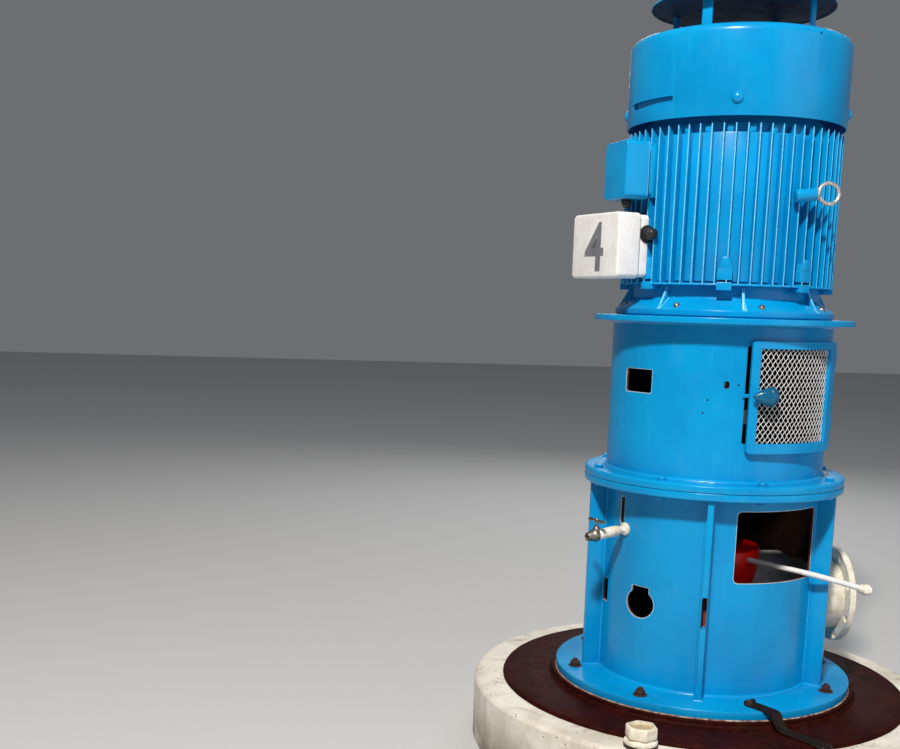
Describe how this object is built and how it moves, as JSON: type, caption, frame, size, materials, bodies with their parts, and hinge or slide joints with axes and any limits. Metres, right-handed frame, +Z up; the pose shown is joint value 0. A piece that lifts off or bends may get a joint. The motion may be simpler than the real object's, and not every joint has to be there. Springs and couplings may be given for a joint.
{
  "type": "vertical turbine pump",
  "caption": "Above-ground head of a vertical turbine pump: a finned vertical motor on a round flanged stand with a screened guard door and a side discharge flange, on a round concrete plinth.",
  "frame": {"origin": "centre of the concrete plinth's underside", "axes": "+Z up the pump's axis; +X along the discharge nozzle, away from the pump"},
  "size_m": [1.78, 1.78, 2.809],
  "materials": {
    "blue_paint": "gloss, brushed on",
    "white_paint": "satin",
    "cream_paint": "satin, weathered",
    "maroon_paint": "matt, worn",
    "red_paint": "satin",
    "concrete": "rough cast",
    "galvanised": "zinc coated",
    "bare_steel": "dull",
    "rusty_steel": "rusted",
    "grey_iron": "primed",
    "black_plastic": "moulded"
  },
  "bodies": {
    "pump": {"concrete_plinth": "concrete", "painted_grout": "maroon_paint", "sole_plate": "maroon_paint", "sounding_tube_cap": "cream_paint", "earth_strap": "rusty_steel", "base_flange": "blue_paint", "lower_barrel_left": "blue_paint", "lower_barrel_right": "blue_paint", "lower_barrel_rear": "blue_paint", "lower_top_flange": "blue_paint", "stiffening_rib_1": "blue_paint", "stiffening_rib_2": "blue_paint", "stiffening_rib_3": "blue_paint", "stiffening_rib_4": "blue_paint", "stiffening_rib_5": "blue_paint", "mid_bottom_flange": "blue_paint", "mid_barrel": "blue_paint", "top_plate": "blue_paint", "door_hinge_1": "blue_paint", "door_hinge_2": "blue_paint", "motor_end_shield": "blue_paint", "motor_frame": "blue_paint", "upper_end_shield": "blue_paint", "fan_cover": "blue_paint", "intake_grille": "blue_paint", "rain_hood": "blue_paint", "hood_post_1": "blue_paint", "hood_post_2": "blue_paint", "hood_post_3": "blue_paint", "hood_post_4": "blue_paint", "lifting_boss_front": "blue_paint", "lifting_eye_front": "galvanised", "lifting_boss_rear": "blue_paint", "lifting_eye_rear": "galvanised", "main_terminal_box_lid": "white_paint", "main_terminal_box": "white_paint", "main_cable_gland": "black_plastic", "aux_terminal_box_lid": "blue_paint", "aux_terminal_box": "blue_paint", "aux_cable_gland": "black_plastic", "discharge_bend": "grey_iron", "discharge_flange": "cream_paint", "stuffing_box_housing": "red_paint", "pump_shaft": "bare_steel", "shaft_coupling": "grey_iron", "leak_off_pipe": "white_paint", "leak_off_union": "bare_steel", "drain_nipple": "cream_paint", "drain_cock": "bare_steel", "drain_cock_handle": "bare_steel"},
    "guard_door": {"door_frame": "blue_paint", "door_screen": "galvanised"},
    "latch": {"latch_handle": "blue_paint"}
  },
  "joints": [
    {"name": "guard_door_hinge", "type": "hinge", "parent": "pump", "child": "guard_door", "pos_m": [0.3519, -0.23292, 1.419], "axis": [0, 0, 1], "range_deg": [0, 110]},
    {"name": "latch_turn", "type": "hinge", "parent": "guard_door", "child": "latch", "pos_m": [0.04009, -0.43214, 1.406], "axis": [0.0924, -0.9957, 0], "range_deg": [0, 90]}
  ]
}
